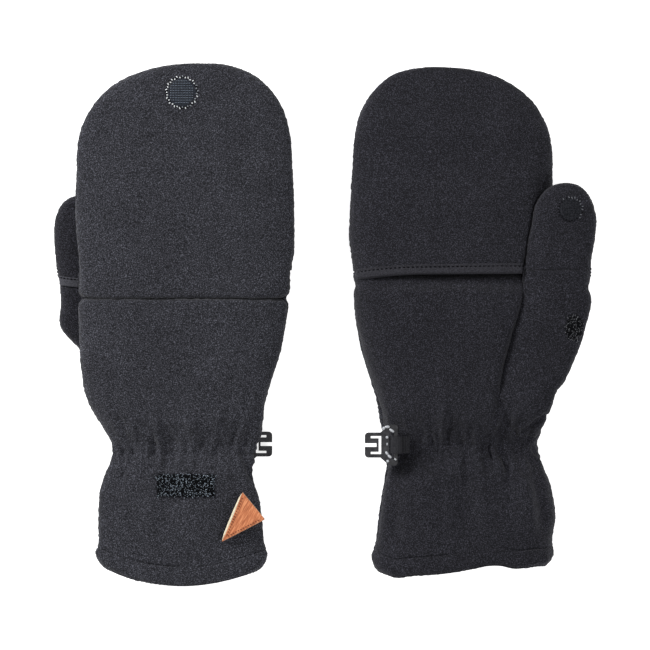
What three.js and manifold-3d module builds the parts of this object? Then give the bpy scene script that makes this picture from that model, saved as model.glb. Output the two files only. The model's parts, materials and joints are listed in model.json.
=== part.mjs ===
// A pair of convertible flip-top fleece mittens, lying flat side by side.
// Both are right-hand mittens: "palmdown" lies with its back up, "palmup" with its palm up.
// Millimetres, +Z up, +Y towards the fingertips. The origin is under the middle of the pair.
//
// Each mitten is drawn in its own frame: x towards the thumb, y towards the fingertips and z
// towards the palm, with z = 0 on the back of the hand. The palmup mitten stands in that frame
// as it is. The palmdown mitten is the same frame turned half a turn about its long axis.

import * as THREE from 'three';
import Module from 'manifold-3d';

const wasm = await Module();
wasm.setup();

// Driving dimensions.
const THICKNESS = 28.3;
const SEAM_HEIGHT = 9;
const GAP = 0.3;
const FLEECE = 2.5;
const LINING = 1.2;
const ELASTIC_THICKNESS = 0.8;
const HINGE_Y = 13.9;
const HEM_Y = -130;
const WRIST_Y = -68;
const PALM_END_Y = 23.6;
const HAND_ROWS = [HEM_Y, -121, -110, -98, -86, -77, -71, -65, -57, -46, -34, -20, -6, 6, HINGE_Y - 0.2];
const HOOD_MOUTH_Y = 24;
const HOOD_TIP_Y = 140.6;
const HOOD_TAPER_Y = 85;
const BINDING_WIDTH = 5.4;
const BINDING_PROUD = 0.4;
const STUB_END_Y = 33;
const STUB_WALL = 1.6;
const STUB_BACK = 4.1;
const STUB_PALM = 16.2;
const STUB_LITTLE_MARGIN = 12;
const STUB_THUMB_MARGIN = 11.6;
const THUMB_BACK = 14.6;
const THUMB_PALM = 26.3;
const THUMB_WALL = 2.2;
const THUMB_HINGE_Y = 29.4;
const THUMB_BASE_Y = -46;
const THUMB_BINDING_WIDTH = 3.5;
const THUMB_MOUTH_SLANT = 2;
const THUMB_DISC_FROM_TIP = 14.4;
const SCOOP_PALM = 12.9;
const DISC_RADIUS = 8;
const HOOD_DISC_PLACE = [1.3, 124.8, 0];
const THUMB_DISC_RADIUS = 6;
const STITCH_RING_WIDTH = 0.8;
const TRIM_THICKNESS = 1;
const PATCH_PLACE = [-0.7, -86.4, 0];
const PATCH_LENGTH = 31.6;
const PATCH_WIDTH = 12.4;
const TAG_CORNERS = [[-31.3, -90], [-43.5, -104.7], [-20.1, -116.8]];
const CLIP_THICKNESS = 3.6;
const CLIP_LENGTH = 17.6;
const CLIP_BASE_WIDTH = 22;
const CLIP_HEAD_WIDTH = 13.5;
const CLIP_BAR = 1.9;
const CLIP_PLACE = { x: -29.4, y: -64.8 };
const CLIP_AXIS_Z = 24.9;
const LOOP_RADIUS = 3.4;
const LOOP_THICKNESS = 0.9;
const LOOP_WIDTH = 9;
const LOOP_TAIL = 7.5;

// What differs between the two mittens as they lie. Outline stations are
// [y, little-finger side x, thumb side x] in the mitten's own frame.
const palmdown = {
  name: 'palmdown',
  shift: -75.6,
  palmIsUp: false,
  hemSag: 10.6,
  hand: [
    [-130, -44.5, 47.5], [-103, -41.2, 46.3], [-86, -37.3, 45.3], [WRIST_Y, -37.3, 39.6],
    [-53, -41.8, 44], [-38, -44.2, 52.6], [-20, -50, 55.8], [0, -54.6, 56.8],
    [HINGE_Y, -56.4, 57.3], [30, -56.4, 57.3],
  ],
  hood: [[HINGE_Y, -55.4, 56.4], [30, -57.6, 57], [60, -59.3, 59.3], [HOOD_TAPER_Y, -58, 58.6]],
  hoodApexX: -7.6,
  hoodTipY: HOOD_TIP_Y,
  thumb: [
    [THUMB_BASE_Y, 20, 43], [-32, 19, 49], [-20, 22, 54], [-8, 26, 61.6], [1, 29.5, 67.3],
    [14, 31.5, 66.7], [32, 33.5, 69], [46, 35, 70.2],
  ],
  thumbApexX: 53,
  thumbTaperY: 46,
  thumbTipY: 70.5,
  thumbDiscX: 54,
  thumbHoleX: 35,
  tagShift: 0,
};
const palmup = {
  name: 'palmup',
  shift: 68.4,
  palmIsUp: true,
  hemSag: 4.5,
  hand: [
    [-130, -42.5, 54.6], [-103, -38.8, 55.4], [-86, -37.1, 52.4], [WRIST_Y, -34.6, 46.6],
    [-53, -37.1, 47.5], [-38, -40.7, 51], [-20, -46, 53], [0, -50.8, 53.5],
    [HINGE_Y, -52.4, 54], [30, -52.6, 54],
  ],
  hood: [[HINGE_Y, -51.8, 53.6], [30, -53.2, 54], [55, -55, 54.8], [HOOD_TAPER_Y, -53, 54.9]],
  hoodApexX: -8.4,
  hoodTipY: 139.3,
  thumb: [
    [THUMB_BASE_Y, 27, 50], [-36, 24, 57.5], [-20, 27.5, 65.5], [-4, 31.8, 71], [10, 36, 74.6],
    [20, 37.6, 73.6], [30, 38.5, 74.4], [46, 41.3, 76.9], [54, 43, 77.8],
  ],
  thumbApexX: 61,
  thumbTaperY: 52,
  thumbTipY: 76.3,
  thumbDiscX: 61,
  thumbHoleX: 40,
  tagShift: 7,
};

const paint = {
  fleece: { color: '#36343a', roughness: 0.98, metalness: 0 },
  lining: { color: '#2b2a2e', roughness: 1, metalness: 0 },
  binding: { color: '#3b3840', roughness: 0.9, metalness: 0 },
  hook: { color: '#3c4048', roughness: 0.7, metalness: 0 },
  loop: { color: '#1d1d21', roughness: 1, metalness: 0 },
  thread: { color: '#d6d6d8', roughness: 0.8, metalness: 0 },
  leather: { color: '#b9683f', roughness: 0.7, metalness: 0 },
  plastic: { color: '#0f0f11', roughness: 0.25, metalness: 0 },
};

// A smooth curve through stations [at, value], level beyond both ends.
function curveThrough(stations) {
  const slope = stations.map((station, i) => {
    const before = stations[Math.max(i - 1, 0)];
    const after = stations[Math.min(i + 1, stations.length - 1)];
    return (after[1] - before[1]) / (after[0] - before[0]);
  });
  return (at) => {
    if (at <= stations[0][0]) return stations[0][1];
    const next = stations.findIndex((station) => station[0] >= at);
    if (next < 0) return stations[stations.length - 1][1];
    const [a0, v0] = stations[next - 1];
    const [a1, v1] = stations[next];
    const span = a1 - a0;
    const s = (at - a0) / span;
    const bend0 = slope[next - 1] * span;
    const bend1 = slope[next] * span;
    const rise = v1 - v0;
    return v0 + s * bend0 + s * s * (3 * rise - 2 * bend0 - bend1)
      + s * s * s * (bend0 + bend1 - 2 * rise);
  };
}

// The same, but level at every station, so that it never swings past one.
function stepsThrough(stations) {
  return (at) => stations.slice(1).reduce((value, [a1, v1], i) => {
    const [a0, v0] = stations[i];
    return value + (v1 - v0) * smoothStep(a0, a1, at);
  }, stations[0][1]);
}

const smoothStep = (from, to, at) => THREE.MathUtils.smoothstep(at, from, to);
const lerp = THREE.MathUtils.lerp;
const signedPower = (value, power) => Math.sign(value) * Math.abs(value) ** power;

// Height of the back and of the palm side along the hand and hood, before the thumb's hollow.
// The back bulges a little below z = 0, where it is pressed flat.
const BACK = stepsThrough([[-78, 2], [WRIST_Y, 3.6], [-50, -0.7], [78, -0.7], [98, 1.9]]);
const HAND_PALM = stepsThrough([
  [-130, 25.6], [-84, 24], [WRIST_Y, 20.4], [-44, 29], [4, 29], [PALM_END_Y, 22.5],
]);
const HOOD_PALM = stepsThrough([[HOOD_MOUTH_Y, 27.8], [55, 25], [100, 20], [141, 17]]);

// A form is a flat tube: its sides, back and palm heights, and where it closes at its tip.
// handForm, hoodForm and thumbForm give the skin of each at any inset below the surface.
function handForm(mitten) {
  const little = curveThrough(mitten.hand.map(([y, x]) => [y, x]));
  const thumb = curveThrough(mitten.hand.map(([y, , x]) => [y, x]));
  return {
    little, thumb,
    back: BACK,
    palm: HAND_PALM,
    palmLimit: palmLimit(mitten, 14),
    seam: SEAM_HEIGHT,
    round: 2.6,
    hemSag: mitten.hemSag,
  };
}

function hoodForm(mitten) {
  return {
    little: curveThrough(mitten.hood.map(([y, x]) => [y, x])),
    thumb: curveThrough(mitten.hood.map(([y, , x]) => [y, x])),
    back: BACK,
    palm: HOOD_PALM,
    palmLimit: palmLimit(mitten, 7),
    seam: SEAM_HEIGHT,
    round: 2.6,
    apexX: mitten.hoodApexX,
    taperY: HOOD_TAPER_Y,
    tipY: mitten.hoodTipY,
    tipPower: 2.4,
  };
}

function thumbForm(mitten) {
  const flat = (height) => () => height;
  return {
    little: curveThrough(mitten.thumb.map(([y, x]) => [y, x])),
    thumb: curveThrough(mitten.thumb.map(([y, , x]) => [y, x])),
    back: flat(THUMB_BACK),
    palm: flat(THUMB_PALM),
    palmLimit: flat(THUMB_PALM),
    seam: (THUMB_BACK + THUMB_PALM) / 2,
    round: 2.3,
    apexX: mitten.thumbApexX,
    taperY: mitten.thumbTaperY,
    tipY: mitten.thumbTipY,
    tipPower: 2.2,
  };
}

// The palm side is pressed in where the thumb lies across it.
function palmLimit(mitten, slopeWidth) {
  const thumbEdge = curveThrough(mitten.thumb.map(([y, x]) => [y, x]));
  const EDGE_CLEARANCE = 3;
  return (x, y) => {
    const edge = thumbEdge(y) - EDGE_CLEARANCE;
    const across = smoothStep(edge - slopeWidth, edge, x);
    const along = smoothStep(THUMB_BASE_Y - 18, THUMB_BASE_Y - 2, y)
      * (1 - smoothStep(mitten.thumbTipY + 1, mitten.thumbTipY + 14, y));
    return lerp(THICKNESS, SCOOP_PALM, across * along);
  };
}

// One point of a form's skin. Angle 0 is the thumb-side seam, a quarter turn is the palm.
function skinPoint(form, y, angle, inset, lift = 0) {
  const tipY = form.tipY - inset;
  const reach = form.tipY ? Math.max(0, (y - form.taperY) / (tipY - form.taperY)) : 0;
  const rounded = (1 - Math.min(reach, 1) ** form.tipPower) ** (1 / form.tipPower);
  const close = reach > 0 ? rounded : 1;
  const apex = form.apexX ?? 0;
  const little = apex + (form.little(y) + inset - apex) * close;
  const thumb = apex + (form.thumb(y) - inset - apex) * close;
  const x = (little + thumb) / 2 + ((thumb - little) / 2) * signedPower(Math.cos(angle), 2 / form.round);
  const rise = signedPower(Math.sin(angle), 2 / form.round) * close ** 0.35;
  const full = rise > 0 ? form.palm(y) - inset - form.seam : form.seam - form.back(y) - inset;
  const z = THREE.MathUtils.clamp(form.seam + full * rise, inset, form.palmLimit(x, y) - inset);
  const height = z + lift * (1 - Math.abs(rise));
  if (!form.hemSag) return [x, y, height];
  const sag = form.hemSag * (1 - smoothStep(HEM_Y, WRIST_Y, y));
  const side = 2 * (x - little) / (thumb - little) - 1;
  return [x, y - sag * (1 - side * side), height];
}

// Joins rings of points into one closed mesh whose faces point out.
class Skin {
  constructor() {
    this.points = [];
    this.index = new Map();
    this.triangles = [];
  }

  vertex(point) {
    const key = point.map((value) => Math.round(value * 1000)).join(',');
    if (!this.index.has(key)) {
      this.index.set(key, this.points.length);
      this.points.push(point);
    }
    return this.index.get(key);
  }

  triangle(a, b, c) {
    const corners = [a, b, c].map((point) => this.vertex(point));
    if (new Set(corners).size === 3) this.triangles.push(corners);
  }

  quad(a, b, c, d) {
    this.triangle(a, b, c);
    this.triangle(a, c, d);
  }

  geometry() {
    let volume = 0;
    for (const [a, b, c] of this.triangles) {
      const [p, q, r] = [a, b, c].map((i) => new THREE.Vector3(...this.points[i]));
      volume += p.dot(q.cross(r)) / 6;
    }
    const turned = volume < 0 ? this.triangles.map(([a, b, c]) => [a, c, b]) : this.triangles;
    const geometry = new THREE.BufferGeometry();
    geometry.setAttribute('position', new THREE.Float32BufferAttribute(this.points.flat(), 3));
    geometry.setIndex(turned.flat());
    return geometry;
  }
}

// The rows of a sheet of cloth: at given heights, evenly between two edges, or from an edge to
// the form's tip. An edge is a number or a function of the angle round the form.
const heightAt = (edge, angle) => (typeof edge === 'function' ? edge(angle) : edge);
const throughRows = (heights) => () => heights;
const evenRows = (near, far, count) => (form, inset, angle) => {
  const start = heightAt(near, angle);
  const end = heightAt(far, angle);
  return Array.from({ length: count + 1 }, (_, i) => lerp(start, end, i / count));
};
const rowsToTip = (near, count) => (form, inset, angle) => {
  const start = heightAt(near, angle);
  const end = form.tipY - inset;
  return Array.from({ length: count + 1 }, (_, i) => lerp(start, end, Math.sin((i / count) * Math.PI / 2)));
};

// A sheet of cloth between two insets of a form, over a range of angles.
function cloth(form, options) {
  const { from, to, rowHeights, outer, inner, columns, lift = 0 } = options;
  const wrap = to - from > 6.28;
  const grid = (inset) => {
    const lines = [];
    for (let column = 0; column <= columns; column += 1) {
      const angle = wrap && column === columns ? from : lerp(from, to, column / columns);
      rowHeights(form, inset, angle).forEach((y, row) => {
        lines[row] = lines[row] ?? [];
        lines[row].push(skinPoint(form, y, angle, inset, lift));
      });
    }
    return lines;
  };
  const outside = grid(outer);
  const inside = grid(inner);
  const rows = outside.length - 1;
  const skin = new Skin();
  for (let row = 0; row < rows; row += 1) {
    for (let column = 0; column < columns; column += 1) {
      const corners = (lines) => [
        lines[row][column], lines[row][column + 1], lines[row + 1][column + 1], lines[row + 1][column],
      ];
      skin.quad(...corners(outside));
      skin.quad(...corners(inside).reverse());
    }
  }
  const wall = (line, other) => {
    for (let i = 0; i + 1 < line.length; i += 1) skin.quad(line[i + 1], line[i], other[i], other[i + 1]);
  };
  wall(outside[0], inside[0]);
  wall([...outside[rows]].reverse(), [...inside[rows]].reverse());
  if (!wrap) {
    const edge = (lines, column) => lines.map((line) => line[column]);
    wall(edge(outside, 0).reverse(), edge(inside, 0).reverse());
    wall(edge(outside, columns), edge(inside, columns));
  }
  return skin.geometry();
}

// A flat piece with a given outline, between two heights.
function plate(shape, low, high, curveSegments = 12) {
  const geometry = new THREE.ExtrudeGeometry(shape, {
    depth: high - low,
    bevelEnabled: false,
    curveSegments,
  });
  return geometry.translate(0, 0, low);
}

function roundedBar(width, height, radius) {
  const shape = new THREE.Shape();
  const right = width / 2;
  const top = height / 2;
  shape.absarc(right - radius, top - radius, radius, 0, Math.PI / 2);
  shape.absarc(radius - right, top - radius, radius, Math.PI / 2, Math.PI);
  shape.absarc(radius - right, radius - top, radius, Math.PI, 1.5 * Math.PI);
  shape.absarc(right - radius, radius - top, radius, 1.5 * Math.PI, 2 * Math.PI);
  return shape;
}

function circle(radius, holeRadius = 0) {
  const shape = new THREE.Shape();
  shape.absarc(0, 0, radius, 0, 2 * Math.PI);
  if (holeRadius > 0) {
    const hole = new THREE.Path();
    hole.absarc(0, 0, holeRadius, 0, 2 * Math.PI, true);
    shape.holes.push(hole);
  }
  return shape;
}

function box(left, right, near, far, low, high) {
  const geometry = new THREE.BoxGeometry(right - left, far - near, high - low);
  return geometry.translate((left + right) / 2, (near + far) / 2, (low + high) / 2);
}

// A closed geometry as a solid that can be cut, and back.
function toSolid(geometry) {
  const position = geometry.getAttribute('position');
  const skin = new Skin();
  const order = geometry.index ? [...geometry.index.array] : [...Array(position.count).keys()];
  const point = (i) => [position.getX(i), position.getY(i), position.getZ(i)];
  for (let i = 0; i < order.length; i += 3) skin.triangle(...order.slice(i, i + 3).map(point));
  return new wasm.Manifold(new wasm.Mesh({
    numProp: 3,
    vertProperties: Float32Array.from(skin.points.flat()),
    triVerts: Uint32Array.from(skin.triangles.flat()),
  }));
}

function cut(geometry, ...tools) {
  const solid = tools.reduce((body, tool) => body.subtract(toSolid(tool)), toSolid(geometry));
  const mesh = solid.getMesh();
  const result = new THREE.BufferGeometry();
  result.setAttribute('position', new THREE.Float32BufferAttribute(mesh.vertProperties, 3));
  result.setIndex([...mesh.triVerts]);
  return result;
}

const group = new THREE.Group();

function buildMitten(mitten) {
  const side = new THREE.Group();
  if (mitten.palmIsUp) {
    side.position.set(mitten.shift, 0, 0);
  } else {
    side.rotation.y = Math.PI;
    side.position.set(mitten.shift, 0, THICKNESS);
  }
  group.add(side);
  const add = (name, geometry, material) => {
    const mesh = new THREE.Mesh(geometry, new THREE.MeshStandardMaterial(material));
    mesh.name = `${mitten.name}_${name}`;
    side.add(mesh);
    return mesh;
  };

  const hand = handForm(mitten);
  const hood = hoodForm(mitten);
  const thumb = thumbForm(mitten);
  const halfGap = GAP / 2;
  const palmHalf = { from: 0, to: Math.PI, lift: halfGap };
  const backHalf = { from: Math.PI, to: 2 * Math.PI, lift: -halfGap };
  const allRound = { from: 0, to: 2 * Math.PI };

  // The hand: two fleece panels sewn at the sides, a lining, an elastic and a hem.
  const thumbPassage = box(mitten.thumbHoleX - 6, mitten.thumbHoleX + 6, -32, -8, 7.5, 17.4);
  add('hand_back_panel', cloth(hand, {
    ...backHalf, rowHeights: throughRows(HAND_ROWS), outer: 0, inner: FLEECE, columns: 12,
  }), paint.fleece);
  add('hand_palm_panel', cut(cloth(hand, {
    ...palmHalf, rowHeights: throughRows([...HAND_ROWS, PALM_END_Y]), outer: 0, inner: FLEECE,
    columns: 12,
  }), thumbPassage), paint.fleece);
  const elasticOuter = FLEECE + GAP;
  const liningOuter = elasticOuter + ELASTIC_THICKNESS + GAP;
  const cuffRows = HAND_ROWS.filter((y) => y < WRIST_Y + 4);
  add('cuff_lining', cloth(hand, {
    ...allRound, rowHeights: throughRows(cuffRows), outer: liningOuter, inner: liningOuter + LINING,
    columns: 24,
  }), paint.lining);
  add('hem_band', cloth(hand, {
    ...allRound, rowHeights: throughRows(HAND_ROWS.slice(0, 2)), outer: -1.6, inner: -0.5, columns: 24,
  }), paint.fleece);
  const wristRows = HAND_ROWS.filter((y) => Math.abs(y - WRIST_Y) < 4);
  add('wrist_elastic', cloth(hand, {
    from: Math.PI / 6, to: (5 * Math.PI) / 6, rowHeights: throughRows(wristRows),
    outer: elasticOuter, inner: elasticOuter + ELASTIC_THICKNESS, columns: 8,
  }), paint.binding);

  // Four half fingers, which the hood covers.
  const stubReach = [
    hand.little(HINGE_Y) + STUB_LITTLE_MARGIN,
    thumb.little(THUMB_HINGE_Y) - STUB_THUMB_MARGIN,
  ];
  const stubPitch = (stubReach[1] - stubReach[0]) / 4;
  ['little', 'ring', 'middle', 'index'].forEach((finger, i) => {
    const left = stubReach[0] + i * stubPitch;
    const tube = roundedBar(stubPitch - GAP, STUB_PALM - STUB_BACK, 5.4);
    const bore = roundedBar(stubPitch - GAP - 2 * STUB_WALL, STUB_PALM - STUB_BACK - 2 * STUB_WALL, 4);
    tube.holes.push(bore);
    const stub = new THREE.ExtrudeGeometry(tube, {
      depth: STUB_END_Y - HINGE_Y - GAP,
      bevelEnabled: false,
      curveSegments: 2,
    });
    stub.rotateX(-Math.PI / 2);
    stub.translate(left + stubPitch / 2, HINGE_Y + GAP, (STUB_BACK + STUB_PALM) / 2);
    add(`${finger}_finger_stub`, stub, paint.lining);
  });

  // The hood folds back over the hand about the seam along its near edge.
  const bindingEnd = HOOD_MOUTH_Y + BINDING_WIDTH;
  add('hood_back_panel', cloth(hood, {
    ...backHalf, rowHeights: rowsToTip(HINGE_Y + 0.2, 11), outer: 0, inner: FLEECE, columns: 12,
  }), paint.fleece);
  add('hood_palm_panel', cloth(hood, {
    ...palmHalf, rowHeights: rowsToTip(bindingEnd + GAP, 10), outer: 0, inner: FLEECE, columns: 14,
  }), paint.fleece);
  add('hood_mouth_binding', cloth(hood, {
    ...palmHalf, rowHeights: evenRows(HOOD_MOUTH_Y, bindingEnd, 1), outer: -BINDING_PROUD,
    inner: FLEECE + BINDING_PROUD, columns: 14,
  }), paint.binding);
  const discLow = 0.7;
  const disc = plate(circle(DISC_RADIUS), discLow, discLow + TRIM_THICKNESS, 12);
  add('hood_hook_disc', disc, paint.hook).position.set(...HOOD_DISC_PLACE);
  const ringInner = DISC_RADIUS + GAP;
  const ring = circle(ringInner + STITCH_RING_WIDTH, ringInner);
  add('hood_disc_stitching', plate(ring, discLow, discLow + 0.7, 12), paint.thread)
    .position.set(...HOOD_DISC_PLACE);

  // The thumb lies across the palm. Its cap folds back about its palm side.
  const thumbMouth = (angle) => THUMB_HINGE_Y + 0.2 - THUMB_MOUTH_SLANT * (1 - Math.sin(angle));
  add('thumb_sleeve', cut(cloth(thumb, {
    ...allRound, rowHeights: evenRows(THUMB_BASE_Y, (angle) => thumbMouth(angle) - GAP, 7), outer: 0,
    inner: THUMB_WALL, columns: 16,
  }), thumbPassage), paint.fleece);
  const capEdge = (angle) => thumbMouth(angle) + THUMB_BINDING_WIDTH;
  add('thumb_cap_binding', cloth(thumb, {
    ...allRound, rowHeights: evenRows(thumbMouth, capEdge, 1), outer: 0, inner: THUMB_WALL, columns: 16,
  }), paint.binding);
  add('thumb_cap', cloth(thumb, {
    ...allRound, rowHeights: rowsToTip((angle) => capEdge(angle) + GAP, 7), outer: 0,
    inner: THUMB_WALL, columns: 16,
  }), paint.fleece);
  const foldedY = mitten.thumbTipY - THUMB_DISC_FROM_TIP;
  const thumbDiscPlace = [mitten.thumbDiscX, foldedY, 0];
  const thumbTrimLow = THUMB_PALM + 0.3;
  const smallDisc = () => plate(circle(THUMB_DISC_RADIUS), thumbTrimLow, thumbTrimLow + TRIM_THICKNESS, 9);
  add('thumb_hook_disc', smallDisc(), paint.hook).position.set(...thumbDiscPlace);
  const smallInner = THUMB_DISC_RADIUS + GAP;
  add('thumb_disc_stitching', plate(circle(smallInner + STITCH_RING_WIDTH, smallInner),
    thumbTrimLow, thumbTrimLow + 0.7, 9), paint.thread).position.set(...thumbDiscPlace);
  add('thumb_loop_dot', smallDisc(), paint.loop)
    .position.set(mitten.thumbDiscX, 2 * THUMB_HINGE_Y - foldedY, 0);

  // Trim on the back of the cuff: the loop patch that holds the folded hood, and a leather tag.
  const trimLow = 0.6;
  add('cuff_loop_patch', plate(
    roundedBar(PATCH_LENGTH, PATCH_WIDTH, 1.2), trimLow, trimLow + TRIM_THICKNESS, 2,
  ), paint.loop).position.set(...PATCH_PLACE);
  const tagCorners = TAG_CORNERS.map(
    ([x, y]) => new THREE.Vector2(x + mitten.tagShift, y),
  );
  const tagLow = 0.7;
  add('leather_tag', plate(new THREE.Shape(tagCorners), tagLow, tagLow + 0.9), paint.leather);
  const [tagTop, tagTip, tagFoot] = tagCorners;
  const inward = (corner, share) => corner.clone().lerp(
    new THREE.Vector2((tagTop.x + tagTip.x + tagFoot.x) / 3, (tagTop.y + tagTip.y + tagFoot.y) / 3),
    share,
  );
  const stitchLine = new THREE.Shape([
    inward(tagTop, 0.2), inward(tagFoot, 0.2), inward(tagTip, 0.2),
    inward(tagTip, 0.28), inward(tagFoot, 0.28), inward(tagTop, 0.28),
  ]);
  add('tag_stitching', plate(stitchLine, 0.1, 0.4), paint.thread);

  // A moulded clip hangs on a webbing loop at the wrist, on the little-finger side.
  add('glove_clip', glovesClip(), paint.plastic)
    .position.set(CLIP_PLACE.x, CLIP_PLACE.y, CLIP_AXIS_Z);
  const loop = new THREE.Shape();
  loop.moveTo(LOOP_TAIL, -LOOP_RADIUS);
  loop.lineTo(LOOP_TAIL, LOOP_THICKNESS - LOOP_RADIUS);
  loop.lineTo(LOOP_RADIUS, LOOP_THICKNESS - LOOP_RADIUS);
  loop.absarc(0, 0, LOOP_RADIUS, 0, 1.5 * Math.PI, false);
  const eye = new THREE.Path();
  eye.absarc(0, 0, LOOP_RADIUS - LOOP_THICKNESS, 0, 2 * Math.PI, true);
  loop.holes.push(eye);
  const webbing = new THREE.ExtrudeGeometry(loop, {
    depth: LOOP_WIDTH,
    bevelEnabled: false,
    curveSegments: 9,
  });
  webbing.rotateX(Math.PI / 2).translate(-CLIP_BAR / 2, LOOP_WIDTH / 2, 0);
  add('clip_loop', webbing, paint.binding).position.set(CLIP_PLACE.x, CLIP_PLACE.y, CLIP_AXIS_Z);
}

// The clip points away from its webbing bar along -x: a tapered base with a slot for the
// webbing, then a narrower head. A slot open at the end of the head makes two arms, and a
// C-shaped opening runs round it.
function glovesClip() {
  const baseHalf = CLIP_BASE_WIDTH / 2;
  const headHalf = CLIP_HEAD_WIDTH / 2;
  const end = -CLIP_LENGTH;
  const slotHalf = 1;
  const slotEnd = end + 6.3;
  const outline = new THREE.Shape();
  outline.moveTo(-1, -baseHalf);
  outline.lineTo(-4.5, -baseHalf);
  outline.lineTo(-9.2, -headHalf);
  outline.absarc(end + 2, -headHalf + 2, 2, -Math.PI / 2, -Math.PI, true);
  outline.lineTo(end, -slotHalf);
  outline.lineTo(slotEnd, -slotHalf);
  outline.lineTo(slotEnd, slotHalf);
  outline.lineTo(end, slotHalf);
  outline.absarc(end + 2, headHalf - 2, 2, Math.PI, Math.PI / 2, true);
  outline.lineTo(-9.2, headHalf);
  outline.lineTo(-4.5, baseHalf);
  outline.lineTo(-1, baseHalf);
  outline.lineTo(0, baseHalf - 1);
  outline.lineTo(0, 1 - baseHalf);
  const window = (corners) => {
    outline.holes.push(new THREE.Path(corners.map(([x, y]) => new THREE.Vector2(x, y))));
  };
  window([[-4.65, -7.5], [-CLIP_BAR, -7.5], [-CLIP_BAR, 7.5], [-4.65, 7.5]]);
  const [armStart, bendInner, bendOuter] = [-14.4, -10.15, -8.8];
  const [armNear, armFar] = [3.65, 4.85];
  window([
    [armStart, -armFar], [bendOuter, -armFar], [bendOuter, armFar], [armStart, armFar],
    [armStart, armNear], [bendInner, armNear], [bendInner, -armNear], [armStart, -armNear],
  ]);
  return plate(outline, -CLIP_THICKNESS / 2, CLIP_THICKNESS / 2, 4);
}

buildMitten(palmdown);
buildMitten(palmup);

export default group;
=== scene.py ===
"""A pair of convertible flip-top fleece mittens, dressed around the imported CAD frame.

Shapes are worked out in each mitten's own frame, in millimetres: x towards the thumb, y towards
the fingertips, z towards the palm, with z = 0 on the back of the hand. Mitten.place() turns that
into the frame's metres. The folds of the two hoods and thumb caps come from the frame's joints.
"""
import json
import math

import bpy
import numpy as np
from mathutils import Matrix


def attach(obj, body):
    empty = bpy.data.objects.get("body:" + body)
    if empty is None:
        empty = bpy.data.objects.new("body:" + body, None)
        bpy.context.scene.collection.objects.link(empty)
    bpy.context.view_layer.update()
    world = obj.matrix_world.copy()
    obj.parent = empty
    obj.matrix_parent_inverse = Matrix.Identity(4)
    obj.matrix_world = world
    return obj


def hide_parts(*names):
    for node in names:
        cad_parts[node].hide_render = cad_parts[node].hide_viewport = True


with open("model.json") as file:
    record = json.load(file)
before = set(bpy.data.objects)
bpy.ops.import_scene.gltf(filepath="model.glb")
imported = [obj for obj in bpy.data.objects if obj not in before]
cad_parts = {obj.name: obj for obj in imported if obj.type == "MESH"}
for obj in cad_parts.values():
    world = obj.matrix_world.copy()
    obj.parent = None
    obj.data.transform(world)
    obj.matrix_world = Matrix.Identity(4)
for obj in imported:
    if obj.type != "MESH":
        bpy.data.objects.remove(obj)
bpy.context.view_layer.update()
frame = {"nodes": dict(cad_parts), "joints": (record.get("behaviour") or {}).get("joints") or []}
JOINTS = {joint["name"]: joint for joint in frame["joints"]}

MM = 0.001
FOLD_GAP = 0.15         # half of the gap between the hand and the hood at their fold
HINGE_Y = JOINTS["palmup_hood_fold"]["pos_m"][1] / MM
THUMB_HINGE_Y = JOINTS["palmup_thumb_cap_fold"]["pos_m"][1] / MM
THICKNESS = JOINTS["palmdown_hood_fold"]["pos_m"][2] / MM - FOLD_GAP
LOWEST = 0.02           # no point is placed nearer to the table than this

SEAM_Z = 9.0            # the side seams of the hand and hood
SIDE_WALL = 12.0        # cloth from a side seam to where the section turns flat
FLEECE = 2.4            # thickness of the hand's and hood's cloth
THUMB_FLEECE = 2.0
WRIST_Y = -67.0         # the elastic's line
HEM_TOP_Y = -121.0
HEM_Y = -130.0
HOOD_TAPER_Y = 85.0     # where the hood begins to close
MOUTH_Y = 26.0          # roughly where the hood's bound mouth lies
BINDING_WIDTH = 5.2
THUMB_BINDING_WIDTH = 4.6
SLEEVE_Y = -60.0        # where the thumb's sleeve leaves the palm
THUMB_BACK_Z = 13.8     # the side of the thumb that lies on the palm
SCOOP_Z = 12.9          # floor of the hollow under the thumb
DISC_TO_TIP = 14.4      # from the thumb's disc to the thumb's tip
GRID = 1.05             # width of a mesh square
HALF_TURN = math.pi


# -------- curves and noise

def curve_through(stations):
    """A smooth curve through (at, value) stations, level beyond both ends."""
    at, value = (np.array(column, float) for column in zip(*stations))
    slope = np.gradient(value, at)

    def read(x):
        x = np.clip(x, at[0], at[-1])
        i = np.clip(np.searchsorted(at, x, side="right") - 1, 0, len(at) - 2)
        span = at[i + 1] - at[i]
        s = (x - at[i]) / span
        rise = value[i + 1] - value[i]
        bend_0, bend_1 = slope[i] * span, slope[i + 1] * span
        return (value[i] + s * bend_0 + s**2 * (3 * rise - 2 * bend_0 - bend_1)
                + s**3 * (bend_0 + bend_1 - 2 * rise))

    return read


def smooth_step(start, end, x):
    t = np.clip((x - start) / (end - start), 0, 1)
    return t * t * (3 - 2 * t)


def steps_through(stations):
    """Like curve_through, but level at every station, so that it never swings past one."""
    def read(x):
        total = np.full(np.shape(x), float(stations[0][1]))
        for (a0, v0), (a1, v1) in zip(stations, stations[1:]):
            total = total + (v1 - v0) * smooth_step(a0, a1, x)
        return total

    return read


def bell(x, width):
    """1 at x = 0, fading to nothing on both sides."""
    return np.exp(-(x / width) ** 2)


def noise(x, y, cell, seed):
    """Smooth value noise between -1 and 1, with lumps about a cell wide."""
    size = 128
    lattice = np.random.RandomState(seed).uniform(-1, 1, (size, size))
    u, v = np.asarray(x) / cell + 40.37, np.asarray(y) / cell + 40.71
    i, j = np.floor(u).astype(int), np.floor(v).astype(int)
    s, t = u - i, v - j
    s, t = s * s * (3 - 2 * s), t * t * (3 - 2 * t)
    at = lambda a, b: lattice[a % size, b % size]
    low = at(i, j) * (1 - s) + at(i + 1, j) * s
    high = at(i, j + 1) * (1 - s) + at(i + 1, j + 1) * s
    return low * (1 - t) + high * t


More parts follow.
